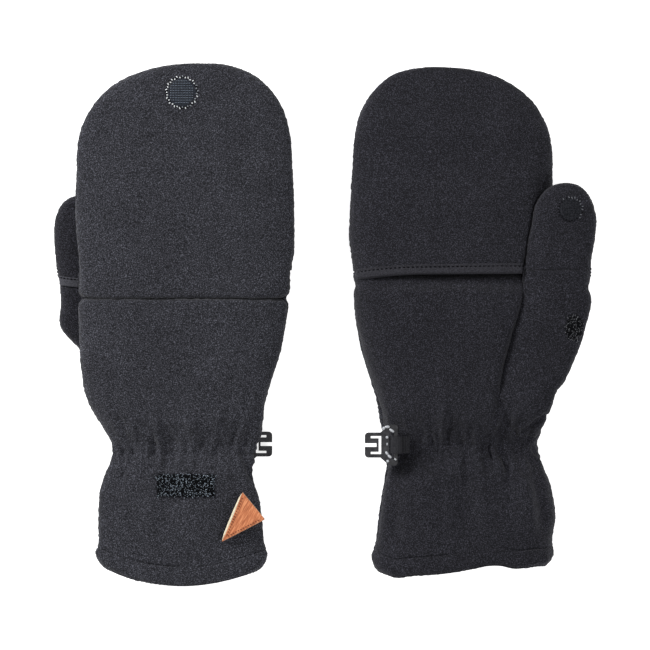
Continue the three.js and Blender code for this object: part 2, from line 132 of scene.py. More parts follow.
def signed_power(value, power):
    return np.sign(value) * np.abs(value) ** power


# -------- the two mittens

class Mitten:
    """Where a mitten lies, the outlines of its hand, hood and thumb, and how it gets pieces."""

    def __init__(self, name, palm_is_up, **outlines):
        self.name = name
        self.palm_is_up = palm_is_up
        self.centre_x = JOINTS[name + "_hood_fold"]["pos_m"][0] / MM
        self.__dict__.update(outlines)

    def place(self, points):
        """Points in the mitten's own millimetres, as the frame's metres."""
        x, y, z = np.moveaxis(np.asarray(points, float), -1, 0)
        across = self.centre_x + x if self.palm_is_up else self.centre_x - x
        height = z if self.palm_is_up else THICKNESS - z
        return np.stack([across, y, np.maximum(height, LOWEST)], -1) * MM

    def add(self, name, body, slot, material, mesh, node=None, smooth=True):
        """A piece from a mesh in the mitten's own frame, instead of the CAD node it redraws."""
        points, faces = mesh
        piece = add_object(f"{self.name}_{name}", self.place(points), faces, material, smooth)
        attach(piece, f"{self.name}_{body}")
        if node:
            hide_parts(f"{self.name}_{node}")
        return piece


PALMDOWN = Mitten(
    "palmdown", False,
    little=[(-130, -44.9), (-124, -44.6), (-117, -43.2), (-103, -41.8), (-94, -40.8), (-86, -38.4),
            (-78, -36.6), (-71, -37.2), (-62, -40), (-53, -41.8), (-42, -43.5), (-31, -46.7),
            (-17, -51.2), (-3.5, -54.2), (7.5, -55.6), (14, -56.6), (30, -56.8)],
    thumb_side=[(-130, 48), (-124, 47.8), (-117, 46.7), (-103, 46.3), (-92, 46.1), (-84, 44.3),
                (-76, 41.1), (-70, 39.3), (-64, 39.8), (-57, 43.1), (-48, 48.3), (-39.7, 52.5),
                (-22, 55.7), (0, 57), (14, 57.6), (30, 57.6)],
    hem_line=[(-50, -128), (-45, -130), (-38, -132.5), (-32, -134.6), (-20, -137.8), (2, -140.2),
              (18, -138.6), (30, -136), (41, -131.8), (46, -129.6)],
    hood_little=[(13.9, -55.9), (18, -56.6), (32, -57.8), (40, -59), (60, -59),
                 (HOOD_TAPER_Y, -58)],
    hood_thumb_side=[(13.9, 56.9), (18, 56.8), (32, 57), (50, 58.6), (69, 59.3),
                     (HOOD_TAPER_Y, 58.6)],
    hood_apex_x=-10.6, hood_tip_y=140.6,
    mouth=[(-56, 24), (0, 25), (56, 24)],
    thumb_inner=[(-60, 22), (-46, 19), (-32, 19), (-20, 22), (-8, 26), (1, 29.5), (14, 31.5),
                 (32, 33.5), (46, 35)],
    thumb_outer=[(-60, 38), (-46, 45), (-32, 49.5), (-20, 54), (-12, 58.4), (-7, 63.2), (-3, 66.6),
                 (2, 68), (10, 67.1), (18, 67.4), (24, 67.9), (32, 69.6), (41, 70.6), (50, 71)],
    thumb_apex_x=52.0, thumb_taper_y=46.0, thumb_tip_y=70.2, thumb_tip_power=2.8, disc_x=54.0,
    tag_shift=0.0, hem_rounding=4.6, notch=(HINGE_Y, 2.1), seed=11,
)
PALMUP = Mitten(
    "palmup", True,
    little=[(-130, -43.5), (-124, -43.0), (-118, -41.4), (-103, -39.4), (-86, -37), (-75, -34.6),
            (-66, -34.4), (-58, -36.2), (-50, -38.2), (-38.8, -40.6), (-27.8, -44.4), (-9, -49.8),
            (7.5, -52.6), (14, -53.1), (30, -52.9)],
    thumb_side=[(-130, 54.9), (-124, 55.2), (-119, 54.3), (-108, 55.8), (-94, 54.9), (-84, 51.8),
                (-74, 47.6), (-67, 46.2), (-60, 46.6), (-52, 49), (-40, 51), (-20, 53), (0, 53.6),
                (30, 54)],
    hem_line=[(-44, -127.6), (-42, -130.8), (-36, -134.2), (-29, -136), (-24, -135.2), (-5, -133.7),
              (10, -131.3), (20, -129.4), (26, -129.4), (33, -130.9), (44, -130), (53, -129),
              (56, -127)],
    hood_little=[(13.9, -51.6), (20, -52), (29, -53.1), (37, -54), (47, -55), (60, -54.8),
                 (HOOD_TAPER_Y, -53.3)],
    hood_thumb_side=[(13.9, 53.6), (30, 54), (55, 54.8), (HOOD_TAPER_Y, 54.9)],
    hood_apex_x=-10.2, hood_tip_y=139.3,
    mouth=[(-54, 23.4), (-48, 24.4), (-38, 25.6), (-27.7, 26.4), (-4.5, 26.9), (38, 27.3),
           (54, 27.3)],
    thumb_inner=[(-60, 30), (-50, 26), (-44, 23.5), (-36, 24), (-20, 27.5), (-4, 31.8), (10, 36),
                 (20, 37.6), (30, 38.6), (46, 41.3), (54, 43)],
    thumb_outer=[(-60, 44), (-54, 49), (-46, 53.1), (-37.6, 56.3), (-35.4, 57.1), (-33.2, 58.9),
                 (-25.5, 63.1), (-12.3, 68.7), (-1.3, 72), (8, 74.4), (14, 74.9), (19.5, 73.4),
                 (25, 74), (36.7, 75.2), (46, 76.9), (55, 77.8)],
    thumb_apex_x=61.5, thumb_taper_y=52.0, thumb_tip_y=76.3, thumb_tip_power=2.2, disc_x=63.6,
    tag_shift=7.0, hem_rounding=2.4, notch=(21.4, 1.2), seed=23,
)

# Heights of the back and palm sides along the hand, hood and thumb.
BACK = steps_through([(-130, 2.4), (-80, 1.8), (WRIST_Y, 3.6), (-48, -0.7), (78, -0.7), (98, 1.7)])
HAND_PALM = steps_through([(-130, 25), (-84, 24), (WRIST_Y, 21), (-44, 29), (6, 29), (16, 28.9),
                           (24, 24.5), (29, 19)])
HOOD_PALM = steps_through([(22, 27.8), (55, 25), (100, 20), (141, 16)])
THUMB_PALM = steps_through([(-60, 21.2), (-54, 25.9), (-49, 27.9), (-42, 28.0), (-8, 26.5)])


class Form:
    """A flat tube of cloth: its sides, the heights of its two faces, and how it closes.

    The back is pressed flat where it bulges below z = 0, and the palm where it rises above limit.
    """

    def __init__(self, little, thumb_side, back, palm, seam, power, limit=None, apex_x=0.0,
                 taper_y=None, tip_y=None, tip_power=2.4):
        self.little, self.thumb_side = curve_through(little), curve_through(thumb_side)
        self.back, self.palm, self.seam, self.power = back, palm, seam, power
        self.limit = limit
        self.apex_x, self.taper_y, self.tip_y, self.tip_power = apex_x, taper_y, tip_y, tip_power

    def skin(self, y, angle, inset=0.0):
        """Points on the skin, inset below it. Angle 0 is the thumb-side seam."""
        y, angle, inset = np.broadcast_arrays(y, angle, inset)
        closing = np.ones(y.shape)
        if self.tip_y:
            reach = (y - self.taper_y) / (self.tip_y - inset - self.taper_y)
            closing = (1 - np.clip(reach, 0, 1) ** self.tip_power) ** (1 / self.tip_power)
        little = self.apex_x + (self.little(y) + inset - self.apex_x) * closing
        thumb_side = self.apex_x + (self.thumb_side(y) - inset - self.apex_x) * closing
        across = signed_power(np.cos(angle), 2 / self.power)
        x = (little + thumb_side) / 2 + (thumb_side - little) / 2 * across
        rise = signed_power(np.sin(angle), 2 / self.power) * closing**0.35
        seam = self.seam(y)
        above = self.palm(y) - inset - seam
        below = seam - self.back(y) - inset
        z = seam + np.where(rise > 0, above, below) * rise
        if self.limit:
            z = np.minimum(np.maximum(z, inset), self.limit(x, y) - inset)
        return np.stack([x, y, z], -1)

    def seam_distance(self, angle):
        """Rough length of cloth between a point and the nearer side seam."""
        return np.abs(signed_power(np.sin(angle), 2 / self.power)) * SIDE_WALL


def level(height):
    return lambda y: np.full(np.shape(y), height)


def thumb_hollow(mitten, slope_width, under, near_y, far_y, tuck=0.0):
    """How high the palm side may stand, so that the thumb finds room to lie across it.

    The slope ends `under` millimetres inside the thumb's edge. `tuck` lowers the hollow's floor
    beyond the hood's mouth, where a second layer lies over it.
    """
    inner_edge = curve_through(mitten.thumb_inner)
    taper_y, tip_y, power = mitten.thumb_taper_y, mitten.thumb_tip_y, 2.2

    def limit(x, y):
        reach = np.clip((y - taper_y) / (tip_y - taper_y), 0, 1)
        closing = (1 - reach**power) ** (1 / power)
        edge = mitten.thumb_apex_x + (inner_edge(y) - mitten.thumb_apex_x) * closing + under
        across = smooth_step(edge - slope_width, edge, x)
        along = smooth_step(near_y, far_y, y) * (1 - smooth_step(tip_y - 1, tip_y + 4, y))
        floor = SCOOP_Z - tuck * smooth_step(17, 23, y)
        return THICKNESS + (floor - THICKNESS) * across * along

    return limit


def hood_hollow(mitten):
    return thumb_hollow(mitten, 4.2, 1.9, -50.0, -34.0)


def hand_form(mitten):
    return Form(mitten.little, mitten.thumb_side, BACK, HAND_PALM, level(SEAM_Z), 2.6,
                limit=thumb_hollow(mitten, 7.5, 5.6, -52.0, -16.0, 3.6))


def hood_form(mitten):
    return Form(mitten.hood_little, mitten.hood_thumb_side, BACK, HOOD_PALM, level(SEAM_Z), 2.6,
                limit=hood_hollow(mitten), apex_x=mitten.hood_apex_x,
                taper_y=HOOD_TAPER_Y, tip_y=mitten.hood_tip_y)


def thumb_form(mitten):
    return Form(mitten.thumb_inner, mitten.thumb_outer, level(THUMB_BACK_Z), THUMB_PALM,
                lambda y: (THUMB_BACK_Z + THUMB_PALM(y)) / 2, 2.9,
                apex_x=mitten.thumb_apex_x, taper_y=mitten.thumb_taper_y, tip_y=mitten.thumb_tip_y,
                tip_power=mitten.thumb_tip_power)


# -------- building meshes

def add_object(name, points, faces, material, smooth=True):
    """A mesh object from points in metres and a list of faces."""
    mesh = bpy.data.meshes.new(name)
    mesh.from_pydata(np.asarray(points).tolist(), [], faces)
    mesh.update(calc_edges=True)
    mesh.validate()
    if smooth:
        mesh.polygons.foreach_set("use_smooth", np.ones(len(mesh.polygons), bool))
    mesh.materials.append(material)
    piece = bpy.data.objects.new(name, mesh)
    bpy.context.scene.collection.objects.link(piece)
    return piece


def even_angles(form, start, end, count, width_to_height=3.2):
    """Angles that divide a stretch of the section into equal lengths of cloth."""
    fine = np.linspace(start, end, 4000)
    x = width_to_height * signed_power(np.cos(fine), 2 / form.power)
    z = signed_power(np.sin(fine), 2 / form.power)
    length = np.concatenate([[0], np.cumsum(np.hypot(np.diff(x), np.diff(z)))])
    return np.interp(np.linspace(0, length[-1], count + 1), length, fine)


def grid_normals(points, wrap):
    """Normals of a grid of points, one for each."""
    along = np.gradient(points, axis=0)
    if wrap:
        around = (np.roll(points, -1, 1) - np.roll(points, 1, 1)) / 2
    else:
        around = np.gradient(points, axis=1)
    normal = np.cross(around, along)
    length = np.linalg.norm(normal, axis=-1, keepdims=True)
    return normal / np.maximum(length, 1e-9)


def grid_quads(number):
    """Quads between the numbered points of a grid."""
    corners = number[:-1, :-1], number[:-1, 1:], number[1:, 1:], number[1:, :-1]
    return np.stack(corners, -1).reshape(-1, 4)


def shell_faces(rows, columns, wrap, closed_tip):
    """Quads of a sheet with an outer grid, an inner grid and walls between their edges."""
    width = columns if wrap else columns + 1
    offset = (rows + 1) * width
    number = np.arange(offset).reshape(rows + 1, width)
    if wrap:
        number = np.concatenate([number, number[:, :1]], 1)
    outer = grid_quads(number)
    inner = outer[:, ::-1] + offset

    def wall(line):
        return np.stack([line[1:], line[:-1], line[:-1] + offset, line[1:] + offset], -1)

    walls = [wall(number[0])]
    if not closed_tip:
        walls.append(wall(number[-1][::-1]))
    if not wrap:
        walls += [wall(number[::-1, 0]), wall(number[:, -1])]
    return np.concatenate([outer, inner] + walls).tolist()


def cloth(form, angles, heights, thickness, shape=None, wrap=False, warp=None, roll=None,
          pull=None, closed_tip=False, fuzz=0.16, seed=1, inset=0.0):
    """Points and faces of a piece of cloth, as one closed sheet in millimetres.

    heights gives y for every row and angle, and may be a function of how deep the layer lies.
    shape(points) moves the outer skin outwards by what it returns. roll is how far the cloth's
    cut edges turn inwards, and pull is how far the whole thickness is drawn in.
    """
    grids = []
    for outer, depth in ((True, inset), (False, inset + thickness)):
        y, angle = np.broadcast_arrays(heights(depth) if callable(heights) else heights, angles)
        if roll and outer:
            depth = depth + roll(y, angle)
        if pull:
            depth = depth + pull(y, angle)
        points = form.skin(y, angle, depth)
        if warp:
            points = warp(points)
        if outer:
            normals = grid_normals(points, wrap)
            if (normals * (points - points.mean((0, 1)))).sum() < 0:
                normals = -normals
            grain = np.random.RandomState(seed).normal(0, 1, y.shape)
            lift = (shape(points) if shape else 0.0) + fuzz * np.clip(grain, -1.6, 1.6)
            if closed_tip:
                lift[-3:] = 0
            points = points + normals * lift[..., None]
        grids.append(points)
    rows, columns = y.shape[0] - 1, y.shape[1] - (0 if wrap else 1)
    return (np.concatenate([grid.reshape(-1, 3) for grid in grids]),
            shell_faces(rows, columns, wrap, closed_tip))


def edge_roll(distance, radius=1.6):
    """How far a cut edge turns in, from nothing at radius away to radius at the edge."""
    t = np.clip(1 - distance / radius, 0, 1)
    return radius * (1 - np.sqrt(1 - t * t * 0.98))


# -------- materials

class Look:
    """A new material, with short ways to add nodes and to set its shader."""

    def __init__(self, name, roughness, **settings):
        self.material = bpy.data.materials.new(name)
        self.material.use_nodes = True
        self.nodes, self.links = self.material.node_tree.nodes, self.material.node_tree.links
        self.inputs = self.nodes["Principled BSDF"].inputs
        self.where = self.node("TexCoord", "Object", {})
        self.inputs["Roughness"].default_value = roughness
        for setting, value in settings.items():
            self.inputs[setting.replace("_", " ")].default_value = value

    def node(self, kind, output, inputs, **attributes):
        """A new node's output. Inputs given as sockets are linked, and others are set."""
        node = self.nodes.new("ShaderNode" + kind)
        for attribute, value in attributes.items():
            setattr(node, attribute, value)
        for key, value in inputs.items():
            if isinstance(value, bpy.types.NodeSocket):
                self.links.new(value, node.inputs[key])
            else:
                node.inputs[key].default_value = value
        return node.outputs[output]

    def noise(self, scale, detail=2.0, roughness=0.6, where=None):
        return self.node("TexNoise", "Fac", {
            "Scale": scale, "Detail": detail, "Roughness": roughness,
            "Vector": self.where if where is None else where})

    def ramp(self, fac, *stops):
        colour = self.node("ValToRGB", "Color", {"Fac": fac})
        elements = colour.node.color_ramp.elements
        for element, (position, tint) in zip(elements, (stops[0], stops[-1])):
            element.position, element.color = position, (*tint, 1)
        for position, tint in stops[1:-1]:
            elements.new(position).color = (*tint, 1)
        return colour

    def multiply(self, a, b, fac=1.0):
        return self.node("Mix", 2, {"Factor": fac, 6: a, 7: b}, data_type="RGBA",
                         blend_type="MULTIPLY")

    def bump(self, height, strength, distance, **under):
        """The normal of a height, over an earlier one given as Normal."""
        return self.node("Bump", "Normal", {
            "Height": height, "Strength": strength, "Distance": distance, **under})

    def link(self, colour, normal=None):
        self.links.new(colour, self.inputs["Base Color"])
        if normal:
            self.links.new(normal, self.inputs["Normal"])
        return self.material


def fleece_material(name, dark, light, sheen=0.12):
    """Brushed fleece: pepper-and-salt grain, faint clouds, a soft nap."""
    look = Look(name, 0.95, Specular_IOR_Level=0.12, Sheen_Weight=sheen, Sheen_Roughness=0.6)
    middle = tuple((a + b) / 2 for a, b in zip(dark, light))
    spark = tuple(3.6 * c for c in light)
    tone = look.ramp(look.noise(2000.0), (0.41, dark), (0.50, middle), (0.57, light), (0.65, spark))
    shade = look.ramp(look.noise(45.0, 3.0, 0.55), (0.3, (0.86, 0.86, 0.87)),
                      (0.7, (1.1, 1.1, 1.1)))
    normal = look.bump(look.noise(620.0, 3.0), 0.55, 0.0007)
    normal = look.bump(look.noise(2600.0, 3.0, 0.7), 0.6, 0.00035, Normal=normal)
    return look.link(look.multiply(tone, shade), normal)


def woven_material(name, dark, light, pitch, roughness=0.85, shine=0.3):
    """Fine knitted or woven tape: crossing ribs at a given pitch in metres."""
    look = Look(name, roughness, Specular_IOR_Level=shine)
    ribs = [look.node("TexWave", "Color", {"Scale": 0.314 / pitch, "Distortion": 0.6,
                                           "Vector": look.where}, bands_direction=direction)
            for direction in ("X", "Y")]
    weave = look.multiply(*ribs, 0.7)
    tone = look.ramp(look.noise(1800.0), (0.36, dark), (0.68, light))
    shade = look.ramp(weave, (0.1, (0.72, 0.72, 0.74)), (0.8, (1.15, 1.15, 1.15)))
    return look.link(look.multiply(tone, shade), look.bump(weave, 0.6, 0.0003))


def thread_material(name, colour, roughness=0.5, shine=0.4):
    """Twisted sewing thread."""
    look = Look(name, roughness, Specular_IOR_Level=shine)
    twist = look.noise(3200.0, 2.0, 0.5)
    dark = tuple(c * 0.45 for c in colour)
    return look.link(look.ramp(twist, (0.3, dark), (0.6, colour)), look.bump(twist, 0.5, 0.0001))


def leather_material(name):
    """Smooth tan leather with diagonal grain, pores and faint clouds."""
    look = Look(name, 0.55)
    grain_way = look.node("Mapping", "Vector", {
        "Rotation": (0, 0, math.radians(-27)), "Scale": (1.0, 11.0, 1.0), "Vector": look.where},
        vector_type="TEXTURE")
    streaks = look.noise(1500.0, where=grain_way)
    tone = look.ramp(streaks, (0.34, (0.40, 0.115, 0.040)), (0.5, (0.58, 0.185, 0.072)),
                     (0.66, (0.84, 0.34, 0.155)))
    shade = look.ramp(look.noise(160.0, 2.0, 0.5), (0.3, (0.9, 0.88, 0.86)),
                      (0.7, (1.06, 1.06, 1.06)))
    normal = look.bump(streaks, 0.4, 0.00025)
    pores = look.bump(look.noise(1900.0, 4.0), 0.35, 0.00012, Normal=normal)
    return look.link(look.multiply(tone, shade), pores)


def plastic_material(name):
    """Glossy black moulded plastic with faint handling marks."""
    look = Look(name, 0.5, Specular_IOR_Level=0.5)
    marks = look.noise(420.0, 4.0)
    rough = look.node("MapRange", "Result", {"To Min": 0.10, "To Max": 0.22, "Value": marks})
    look.links.new(rough, look.inputs["Roughness"])
    colour = look.ramp(marks, (0.3, (0.012, 0.012, 0.014)), (0.75, (0.055, 0.055, 0.060)))
    return look.link(colour, look.bump(marks, 0.12, 0.0001))


# One black fleece in two copies: the back's copy is painted lighter, and the palm's is painted
# darker and less sheeny. They are painted light and shade on the palm-down and palm-up mittens.
LIT_BACK_FLEECE = fleece_material("fleece_back_lit", (0.0046, 0.0048, 0.0072), (0.0335, 0.0342, 0.0425))
SHADED_PALM_FLEECE = fleece_material("fleece_palm_shaded", (0.0044, 0.0044, 0.0064), (0.0180, 0.0180, 0.0235),
                              0.07)
INNER_FLEECE = fleece_material("fleece_inside", (0.0080, 0.0080, 0.0100), (0.0190, 0.0190, 0.0230),
                               0.06)
TAPE = woven_material("binding_tape", (0.010, 0.010, 0.014), (0.050, 0.049, 0.060), 0.0006)
THUMB_TAPE = woven_material("thumb_tape", (0.030, 0.030, 0.037), (0.085, 0.085, 0.100), 0.0006)
WEBBING = woven_material("clip_webbing", (0.013, 0.013, 0.016), (0.036, 0.036, 0.042), 0.0009)
HOOK_WEAVE = woven_material("hook_weave", (0.004, 0.006, 0.011), (0.020, 0.027, 0.041), 0.0013, 0.6)
DARK_WEAVE = woven_material("dark_weave", (0.007, 0.0075, 0.0095), (0.040, 0.042, 0.050), 0.0009,
                            0.8, 0.06)
HOOK_NYLON = thread_material("hook_nylon", (0.30, 0.36, 0.45), 0.3)
LOOP_NYLON = thread_material("loop_nylon", (0.0070, 0.0074, 0.0092), 0.7, 0.08)
# Pale nylon strands standing in as painted highlights on the black loop pile: bright for the cuff
# patch, dimmer for the thumb's dot.
LOOP_SPARK = thread_material("loop_spark", (0.56, 0.66, 0.78), 0.25, 0.8)
DIM_LOOP_GLINT = thread_material("loop_dim_glint", (0.32, 0.33, 0.36), 0.3, 0.5)
PALE_THREAD = thread_material("pale_thread", (0.90, 0.93, 0.96), 0.4)
GREY_THREAD = thread_material("grey_thread", (0.17, 0.18, 0.20), 0.5)
BLACK_THREAD = thread_material("black_thread", (0.003, 0.003, 0.004), 0.9, 0.05)
HEM_THREAD = thread_material("hem_thread", (0.010, 0.010, 0.012), 0.9, 0.05)
DARKER_THREAD = thread_material("darker_thread", (0.30, 0.32, 0.35), 0.5)
TAN_THREAD = thread_material("tan_thread", (0.22, 0.055, 0.018), 0.7)
LEATHER = leather_material("leather")
LEATHER_EDGE = thread_material("leather_edge", (0.97, 0.85, 0.62), 0.8)
PLASTIC = plastic_material("clip_plastic")
# A pale grey cord laid on the clip's base as painted highlights.
PALE_CORD_HIGHLIGHT = thread_material("clip_cord_highlights", (0.62, 0.64, 0.68), 0.35)


# -------- small parts

def tubes(rings, closed):
    """Points and faces of tubes, from an array of tube, ring, side and x, y, z."""
    count, height, sides = rings.shape[:3]
    number = np.arange(count * height * sides).reshape(count, height, sides)
    after = np.roll(number, -1, 2)
    quads = np.stack([number[:, :-1], after[:, :-1], after[:, 1:], number[:, 1:]], -1)
    faces = []
    for walls, ends in zip(quads.reshape(count, -1, 4).tolist(), number[:, (0, -1)].tolist()):
        faces += walls + ([ends[0][::-1], ends[1]] if closed else [])
    return rings.reshape(-1, 3), faces


def capsules(starts, ends, radius, sides=6):
    """Short round-ended rods, such as stitches, between pairs of points in millimetres."""
    # Each ring's share of the length and of the radius.
    profile = [(0.0, 0.25), (0.12, 0.8), (0.35, 1.0), (0.65, 1.0), (0.88, 0.8), (1.0, 0.25)]
    share, swell = np.array(profile).T[:, :, None, None]
    starts, ends = (np.asarray(part, float)[:, None, None] for part in (starts, ends))
    axis = (ends - starts) / np.linalg.norm(ends - starts, axis=-1, keepdims=True)
    u = np.cross(axis, np.where(np.abs(axis[..., 2:]) < 0.9, (0, 0, 1.0), (1.0, 0, 0)))
    u = u / np.linalg.norm(u, axis=-1, keepdims=True)
    turn = (2 * math.pi * np.arange(sides) / sides)[:, None]
    ring = u * np.cos(turn) + np.cross(axis, u) * np.sin(turn)
    return tubes(starts + (ends - starts) * share + ring * radius * swell, True)


def stitch_row(path, stitch, gap):
    """Starts and ends of stitches along a path of points."""
    path = np.asarray(path, float)
    length = np.concatenate([[0], np.cumsum(np.linalg.norm(np.diff(path, axis=0), axis=1))])
    begin = np.arange(gap / 2, length[-1] - stitch, stitch + gap)
    read = lambda s: np.stack([np.interp(s, length, path[:, k]) for k in range(3)], -1)
    return read(begin), read(begin + stitch)


def on_skin(form, flat, palm_side, lift):
    """Points above a form's skin, from their x and y in two columns."""
    angles = np.linspace(0.02, math.pi - 0.02, 400) * (1 if palm_side else -1)
    heights = []
    for x, y in np.asarray(flat, float):
        line = form.skin(y, angles)
        order = np.argsort(line[:, 0])
        heights.append(np.interp(x, line[order, 0], line[order, 2]))
    return np.column_stack([flat, np.array(heights) + (lift if palm_side else -lift)])


def round_about(centre, radius, angle):
    """x and y at an angle around a centre."""
    return centre[0] + radius * math.cos(angle), centre[1] + radius * math.sin(angle)


def disc_mesh(form, centre, radius, palm_side, lift, rings=10, around=48):
    """A domed round patch that follows the skin below it."""
    flat = [round_about(centre, radius * ring / rings, 2 * math.pi * k / around)
            for ring in range(rings + 1) for k in range(around if ring else 1)]
    points = on_skin(form, flat, palm_side, 0.0)
    spread = np.hypot(points[:, 0] - centre[0], points[:, 1] - centre[1]) / radius
    up = 1 if palm_side else -1
    points[:, 2] += up * lift * np.sqrt(np.clip(1.06 - spread**4, 0, 1))
    faces = [(0, 1 + k, 1 + (k + 1) % around) for k in range(around)]
    walls = tubes(points[1:].reshape(1, rings, around, 3), False)[1]
    faces += [(a + 1, d + 1, c + 1, b + 1) for a, b, c, d in walls]
    count = len(points)
    under = points - (0, 0, up * (lift + 0.5))
    faces += [tuple(count + i for i in reversed(face)) for face in faces]
    rim = count - around
    for k in range(around):
        a, b = rim + k, rim + (k + 1) % around
        faces.append((a, a + count, b + count, b))
    return np.concatenate([points, under]), faces


def curled_pile(spots, up, size, seed, strand=0.105, sides=4, steps=5):
    """Little arcs of nylon standing on given spots: the loops of a loop fastener."""
    heading, lean, reach, tall = np.random.RandomState(seed).uniform(
        (0, -0.5, 0.6, 0.5), (2 * math.pi, 0.5, 1.3, 1.0), (len(spots), 4)).T[..., None, None]
    turn = (math.pi * np.arange(steps + 1) / steps)[:, None]
    spin = 2 * math.pi * np.arange(sides) / sides
    above = size * tall * np.sin(turn)
    aside = lean * above + strand * np.cos(spin)
    along = size * reach * (1 - np.cos(turn)) / 2 - strand * np.cos(turn) * np.sin(spin)
    above = above + strand * np.sin(turn) * np.sin(spin)
    arcs = np.stack([along * np.cos(heading) - aside * np.sin(heading),
                     along * np.sin(heading) + aside * np.cos(heading), up * above], -1)
    return tubes(spots[:, None, None] + arcs, False)


# -------- fleece pieces

def hem_warp(mitten):
    """Moves the cuff's rows so that the bottom follows the mitten's own hem line."""
    line = curve_through(mitten.hem_line)

    def warp(points):
        y = points[..., 1]
        share = 1 - smooth_step(HEM_Y, WRIST_Y - 6, y)
        moved = points.copy()
        moved[..., 1] = y + (line(points[..., 0]) - HEM_Y) * share
        return moved

    return warp


CUFF_PATCH = (-0.7, -86.4)
CUFF_PATCH_HALF = (15.6, 6.0)
DOT_REACH = (4.9, 7.2)
# Path, depth and width of each crease at the root of the thumb.
THUMB_CREASES = [
    ([(20, -31), (25, -41), (22, -53), (18, -61)], 1.2, 1.3),
    ([(26, -42), (31, -54), (36, -62)], 0.7, 1.5),
    ([(38, -57.5), (42, -54.8), (46.5, -51.8), (51, -48.9)], 2.2, 0.95),
]


def crease(x, y, path, width):
    """1 along a path, fading to nothing a width away from it."""
    closest = np.full(np.shape(x), 1e9)
    for (x0, y0), (x1, y1) in zip(path, path[1:]):
        dx, dy = x1 - x0, y1 - y0
        t = np.clip(((x - x0) * dx + (y - y0) * dy) / (dx * dx + dy * dy), 0, 1)
        closest = np.minimum(closest, np.hypot(x - x0 - t * dx, y - y0 - t * dy))
    return bell(closest, width)


def beside_patch(x, y, centre, reach, power):
    """0 over a sewn-on patch, which keeps its ground flat, rising to 1 around it."""
    across = np.abs((x - centre[0]) / reach[0])
    along = np.abs((y - centre[1]) / reach[1])
    return smooth_step(0.95, 1.3, (across**power + along**power) ** (1 / power))


def gather(mitten, palm_side):
    """Folds that the wrist elastic draws into the cloth, and the soft swell of the whole."""
    seed = mitten.seed + (5 if palm_side else 0)
    strength, fold_length, hang = (1.15, 46, 4.2) if palm_side else (0.8, 36, 1.4)
    little, thumb_side = curve_through(mitten.little), curve_through(mitten.thumb_side)

    def shape(points):
        x, y = points[..., 0], points[..., 1]
        above_wrist = y - WRIST_Y
        fan = x / (1 + 0.011 * np.abs(above_wrist)) + 1.6 * noise(x, y, 16, seed + 1)
        folds = noise(fan, y * 0.12, 3.4, seed + 3) + 0.5 * noise(fan, y * 0.35, 1.9, seed + 4)
        folds = folds * bell(above_wrist, 18 + 10 * noise(x, 0 * x, 9, seed + 2))
        long_folds = noise(fan, y * 0.10, 7.0, seed + 8) * bell(above_wrist, fold_length)
        puckers = noise(fan, y * 0.45, 1.7, seed + 9) * bell(above_wrist + 1, 9)
        drape = noise(x + 0.12 * y, y * 0.08, 11, seed + 12)
        drape = drape * smooth_step(-70, -88, y) * smooth_step(HEM_TOP_Y - 1, HEM_TOP_Y + 16, y)
        drape = drape * smooth_step(2, 13, np.minimum(x - little(y), thumb_side(y) - x))
        stitched = bell(above_wrist - 2.4, 1.3) + bell(above_wrist + 2.4, 1.3)
        swell = 0.5 * noise(x, y, 30, seed + 6) + 0.25 * noise(x, y, 8, seed + 7)
        drawn = strength * (1.7 * folds + 1.7 * long_folds + 0.75 * puckers) + hang * drape
        total = drawn - 0.6 * stitched + swell
        if palm_side:
            return total - sum(depth * crease(x, y, path, width)
                               for path, depth, width in THUMB_CREASES)
        return beside_patch(x, y, CUFF_PATCH, (16.5, 7.0), 6) * total

    return shape


def soft_swell(seed, amount):
    def shape(points):
        x, y = points[..., 0], points[..., 1]
        return amount * noise(x, y, 34, seed) + 0.5 * amount * noise(x, y, 11, seed + 1)

    return shape


def rows_between(start, end, spacing):
    return np.linspace(start, end, max(2, int(round((end - start) / spacing))) + 1)[:, None]


def hem_corner(mitten):
    """The bottom corners of the cuff are rounded off at both side seams."""
    radius = mitten.hem_rounding

    def pull(y, angle):
        from_bottom = (y - HEM_Y + 0.6) / (1.75 * radius)
        return radius * np.abs(np.cos(angle)) ** 4 * np.clip(1 - from_bottom, 0, 1) ** 2

    return pull


def fold_notch(mitten):
    """Where the hood meets the hand, the cloth is drawn in at both side seams."""
    notch_y, depth = mitten.notch
    return lambda y, angle: depth * bell(y - notch_y, 2.3) * np.abs(np.cos(angle)) ** 10


def two_sides(form, width):
    """For the back and then the palm of a form: which it is, its cloth, and its angles."""
    for side, cloth_look, start in (("back", LIT_BACK_FLEECE, HALF_TURN), ("palm", SHADED_PALM_FLEECE, 0.0)):
        yield side, cloth_look, even_angles(form, start, start + HALF_TURN, int(width / GRID))


def hand_panels(mitten, hand):
    corner, notch = hem_corner(mitten), fold_notch(mitten)
    for side, material, angles in two_sides(hand, 118):
        palm_side = side == "palm"
        top = 28.0 if palm_side else HINGE_Y - FOLD_GAP

        def roll(y, angle):
            turned = edge_roll(hand.seam_distance(angle))
            if not palm_side:
                turned = turned + edge_roll(top - y, 2.0)
            return turned + 1.1 * (1 - smooth_step(HEM_TOP_Y - 2.2, HEM_TOP_Y + 0.6, y))

        mesh = cloth(hand, angles, rows_between(HEM_Y, top, GRID), FLEECE,
                     shape=gather(mitten, palm_side), warp=hem_warp(mitten), roll=roll,
                     pull=lambda y, angle: corner(y, angle) + notch(y, angle),
                     seed=mitten.seed + palm_side)
        mitten.add(f"hand_{side}", "hand", "fleece", material, mesh, f"hand_{side}_panel")


